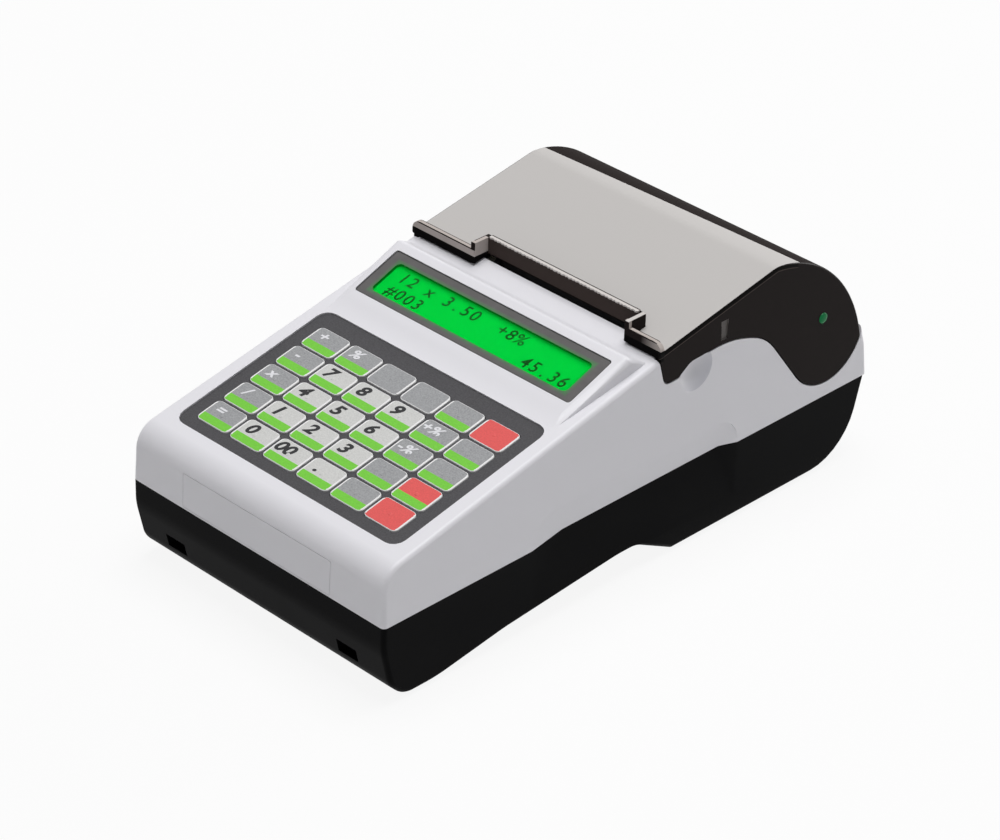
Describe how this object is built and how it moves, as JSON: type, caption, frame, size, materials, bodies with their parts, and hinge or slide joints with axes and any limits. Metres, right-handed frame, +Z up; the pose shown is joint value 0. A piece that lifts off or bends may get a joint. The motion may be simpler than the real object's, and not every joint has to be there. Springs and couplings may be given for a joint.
{
  "type": "ticket register",
  "caption": "Portable ticket register: sloping keypad, raised display and a hinged smoked cover over a roll printer, on a black base.",
  "frame": {"origin": "centre of the bounding box at table height, under the four feet", "axes": "+X to the operator's right, +Y from the operator to the back, +Z up"},
  "size_m": [0.105, 0.203, 0.0789],
  "materials": {
    "base_black": "fine texture",
    "case_white": "satin",
    "cover_smoke": "polished smoked plastic",
    "panel_grey": "fine speckle",
    "key_grey": "satin",
    "key_light": "satin",
    "key_red": "satin",
    "window_grey": "polished",
    "lcd_green": "polished",
    "board_green": "satin",
    "steel": "satin",
    "gear_cream": "satin",
    "frame_dark": "fine texture",
    "dome_white": "satin",
    "rubber_black": "matte",
    "paper_white": "matte",
    "battery_blue": "satin",
    "socket_black": "satin",
    "brass": "satin",
    "led_green": "polished",
    "chip_black": "satin"
  },
  "bodies": {
    "case": {"base_shell": "base_black", "case_top": "case_white", "port_cover": "case_white", "keypad_panel": "panel_grey", "dome_sheet": "dome_white", "keypad_board": "board_green", "display_window": "window_grey", "lcd_module": "lcd_green", "lcd_board": "board_green", "main_board": "board_green", "memory_module": "chip_black", "battery_pack": "battery_blue", "battery_door": "base_black", "rubber_feet": "rubber_black", "case_screws": "steel", "power_inlet": "socket_black", "drawer_socket": "socket_black", "printer_frame": "frame_dark", "print_head": "steel", "head_springs": "steel", "roller_bushes": "gear_cream", "stepper_motor": "steel"},
    "cover": {"printer_cover": "cover_smoke", "tear_bar": "steel", "status_led": "led_green"},
    "platen": {"platen_roller": "rubber_black", "platen_gear": "gear_cream"},
    "idler": {"idler_gear": "gear_cream"},
    "pinion": {"motor_pinion": "brass"},
    "paper": {"paper_roll": "paper_white"},
    "key_c1_r1_cap": {"key_c1_r1": "key_grey"},
    "key_c2_r1_cap": {"key_c2_r1": "key_grey"},
    "key_c3_r1_cap": {"key_c3_r1": "key_grey"},
    "key_c4_r1_cap": {"key_c4_r1": "key_grey"},
    "key_c5_r1_cap": {"key_c5_r1": "key_grey"},
    "key_c6_r1_cap": {"key_c6_r1": "key_red"},
    "key_c1_r2_cap": {"key_c1_r2": "key_grey"},
    "key_c2_r2_cap": {"key_c2_r2": "key_light"},
    "key_c3_r2_cap": {"key_c3_r2": "key_light"},
    "key_c4_r2_cap": {"key_c4_r2": "key_light"},
    "key_c5_r2_cap": {"key_c5_r2": "key_grey"},
    "key_c6_r2_cap": {"key_c6_r2": "key_grey"},
    "key_c1_r3_cap": {"key_c1_r3": "key_grey"},
    "key_c2_r3_cap": {"key_c2_r3": "key_light"},
    "key_c3_r3_cap": {"key_c3_r3": "key_light"},
    "key_c4_r3_cap": {"key_c4_r3": "key_light"},
    "key_c5_r3_cap": {"key_c5_r3": "key_grey"},
    "key_c6_r3_cap": {"key_c6_r3": "key_grey"},
    "key_c1_r4_cap": {"key_c1_r4": "key_grey"},
    "key_c2_r4_cap": {"key_c2_r4": "key_light"},
    "key_c3_r4_cap": {"key_c3_r4": "key_light"},
    "key_c4_r4_cap": {"key_c4_r4": "key_light"},
    "key_c5_r4_cap": {"key_c5_r4": "key_grey"},
    "key_c6_r4_cap": {"key_c6_r4": "key_red"},
    "key_c1_r5_cap": {"key_c1_r5": "key_grey"},
    "key_c2_r5_cap": {"key_c2_r5": "key_light"},
    "key_c3_r5_cap": {"key_c3_r5": "key_light"},
    "key_c4_r5_cap": {"key_c4_r5": "key_light"},
    "key_c5_r5_cap": {"key_c5_r5": "key_grey"},
    "key_c6_r5_cap": {"key_c6_r5": "key_red"}
  },
  "joints": [
    {"name": "cover_hinge", "type": "hinge", "parent": "case", "child": "cover", "pos_m": [0, 0.082, 0.0488], "axis": [-1, 0, 0], "range_deg": [0, 70]},
    {"name": "paper_roll_spin", "type": "hinge", "parent": "case", "child": "paper", "pos_m": [0, 0.0565, 0.0535], "axis": [1, 0, 0], "continuous": true},
    {"name": "platen_spin", "type": "hinge", "parent": "case", "child": "platen", "pos_m": [0, 0.0225, 0.06385], "axis": [1, 0, 0], "continuous": true},
    {"name": "idler_spin", "type": "hinge", "parent": "case", "child": "idler", "pos_m": [0, 0.03, 0.05385], "axis": [1, 0, 0], "continuous": true},
    {"name": "pinion_spin", "type": "hinge", "parent": "case", "child": "pinion", "pos_m": [0, 0.0363, 0.04545], "axis": [1, 0, 0], "continuous": true},
    {"name": "key_c1_r1_press", "type": "slide", "parent": "case", "child": "key_c1_r1_cap", "axis": [0, 0.2096, -0.9778], "range_m": [0, 0.0004], "stiffness_N_per_m": 400},
    {"name": "key_c2_r1_press", "type": "slide", "parent": "case", "child": "key_c2_r1_cap", "axis": [0, 0.2096, -0.9778], "range_m": [0, 0.0004], "stiffness_N_per_m": 400},
    {"name": "key_c3_r1_press", "type": "slide", "parent": "case", "child": "key_c3_r1_cap", "axis": [0, 0.2096, -0.9778], "range_m": [0, 0.0004], "stiffness_N_per_m": 400},
    {"name": "key_c4_r1_press", "type": "slide", "parent": "case", "child": "key_c4_r1_cap", "axis": [0, 0.2096, -0.9778], "range_m": [0, 0.0004], "stiffness_N_per_m": 400},
    {"name": "key_c5_r1_press", "type": "slide", "parent": "case", "child": "key_c5_r1_cap", "axis": [0, 0.2096, -0.9778], "range_m": [0, 0.0004], "stiffness_N_per_m": 400},
    {"name": "key_c6_r1_press", "type": "slide", "parent": "case", "child": "key_c6_r1_cap", "axis": [0, 0.2096, -0.9778], "range_m": [0, 0.0004], "stiffness_N_per_m": 400},
    {"name": "key_c1_r2_press", "type": "slide", "parent": "case", "child": "key_c1_r2_cap", "axis": [0, 0.2096, -0.9778], "range_m": [0, 0.0004], "stiffness_N_per_m": 400},
    {"name": "key_c2_r2_press", "type": "slide", "parent": "case", "child": "key_c2_r2_cap", "axis": [0, 0.2096, -0.9778], "range_m": [0, 0.0004], "stiffness_N_per_m": 400},
    {"name": "key_c3_r2_press", "type": "slide", "parent": "case", "child": "key_c3_r2_cap", "axis": [0, 0.2096, -0.9778], "range_m": [0, 0.0004], "stiffness_N_per_m": 400},
    {"name": "key_c4_r2_press", "type": "slide", "parent": "case", "child": "key_c4_r2_cap", "axis": [0, 0.2096, -0.9778], "range_m": [0, 0.0004], "stiffness_N_per_m": 400},
    {"name": "key_c5_r2_press", "type": "slide", "parent": "case", "child": "key_c5_r2_cap", "axis": [0, 0.2096, -0.9778], "range_m": [0, 0.0004], "stiffness_N_per_m": 400},
    {"name": "key_c6_r2_press", "type": "slide", "parent": "case", "child": "key_c6_r2_cap", "axis": [0, 0.2096, -0.9778], "range_m": [0, 0.0004], "stiffness_N_per_m": 400},
    {"name": "key_c1_r3_press", "type": "slide", "parent": "case", "child": "key_c1_r3_cap", "axis": [0, 0.2096, -0.9778], "range_m": [0, 0.0004], "stiffness_N_per_m": 400},
    {"name": "key_c2_r3_press", "type": "slide", "parent": "case", "child": "key_c2_r3_cap", "axis": [0, 0.2096, -0.9778], "range_m": [0, 0.0004], "stiffness_N_per_m": 400},
    {"name": "key_c3_r3_press", "type": "slide", "parent": "case", "child": "key_c3_r3_cap", "axis": [0, 0.2096, -0.9778], "range_m": [0, 0.0004], "stiffness_N_per_m": 400},
    {"name": "key_c4_r3_press", "type": "slide", "parent": "case", "child": "key_c4_r3_cap", "axis": [0, 0.2096, -0.9778], "range_m": [0, 0.0004], "stiffness_N_per_m": 400},
    {"name": "key_c5_r3_press", "type": "slide", "parent": "case", "child": "key_c5_r3_cap", "axis": [0, 0.2096, -0.9778], "range_m": [0, 0.0004], "stiffness_N_per_m": 400},
    {"name": "key_c6_r3_press", "type": "slide", "parent": "case", "child": "key_c6_r3_cap", "axis": [0, 0.2096, -0.9778], "range_m": [0, 0.0004], "stiffness_N_per_m": 400},
    {"name": "key_c1_r4_press", "type": "slide", "parent": "case", "child": "key_c1_r4_cap", "axis": [0, 0.2096, -0.9778], "range_m": [0, 0.0004], "stiffness_N_per_m": 400},
    {"name": "key_c2_r4_press", "type": "slide", "parent": "case", "child": "key_c2_r4_cap", "axis": [0, 0.2096, -0.9778], "range_m": [0, 0.0004], "stiffness_N_per_m": 400},
    {"name": "key_c3_r4_press", "type": "slide", "parent": "case", "child": "key_c3_r4_cap", "axis": [0, 0.2096, -0.9778], "range_m": [0, 0.0004], "stiffness_N_per_m": 400},
    {"name": "key_c4_r4_press", "type": "slide", "parent": "case", "child": "key_c4_r4_cap", "axis": [0, 0.2096, -0.9778], "range_m": [0, 0.0004], "stiffness_N_per_m": 400},
    {"name": "key_c5_r4_press", "type": "slide", "parent": "case", "child": "key_c5_r4_cap", "axis": [0, 0.2096, -0.9778], "range_m": [0, 0.0004], "stiffness_N_per_m": 400},
    {"name": "key_c6_r4_press", "type": "slide", "parent": "case", "child": "key_c6_r4_cap", "axis": [0, 0.2096, -0.9778], "range_m": [0, 0.0004], "stiffness_N_per_m": 400},
    {"name": "key_c1_r5_press", "type": "slide", "parent": "case", "child": "key_c1_r5_cap", "axis": [0, 0.2096, -0.9778], "range_m": [0, 0.0004], "stiffness_N_per_m": 400},
    {"name": "key_c2_r5_press", "type": "slide", "parent": "case", "child": "key_c2_r5_cap", "axis": [0, 0.2096, -0.9778], "range_m": [0, 0.0004], "stiffness_N_per_m": 400},
    {"name": "key_c3_r5_press", "type": "slide", "parent": "case", "child": "key_c3_r5_cap", "axis": [0, 0.2096, -0.9778], "range_m": [0, 0.0004], "stiffness_N_per_m": 400},
    {"name": "key_c4_r5_press", "type": "slide", "parent": "case", "child": "key_c4_r5_cap", "axis": [0, 0.2096, -0.9778], "range_m": [0, 0.0004], "stiffness_N_per_m": 400},
    {"name": "key_c5_r5_press", "type": "slide", "parent": "case", "child": "key_c5_r5_cap", "axis": [0, 0.2096, -0.9778], "range_m": [0, 0.0004], "stiffness_N_per_m": 400},
    {"name": "key_c6_r5_press", "type": "slide", "parent": "case", "child": "key_c6_r5_cap", "axis": [0, 0.2096, -0.9778], "range_m": [0, 0.0004], "stiffness_N_per_m": 400}
  ],
  "couplings": [
    {"joint": "platen_spin", "follows": "paper_roll_spin", "ratio": 4.2},
    {"joint": "idler_spin", "follows": "paper_roll_spin", "ratio": -2.8},
    {"joint": "pinion_spin", "follows": "paper_roll_spin", "ratio": 7}
  ]
}
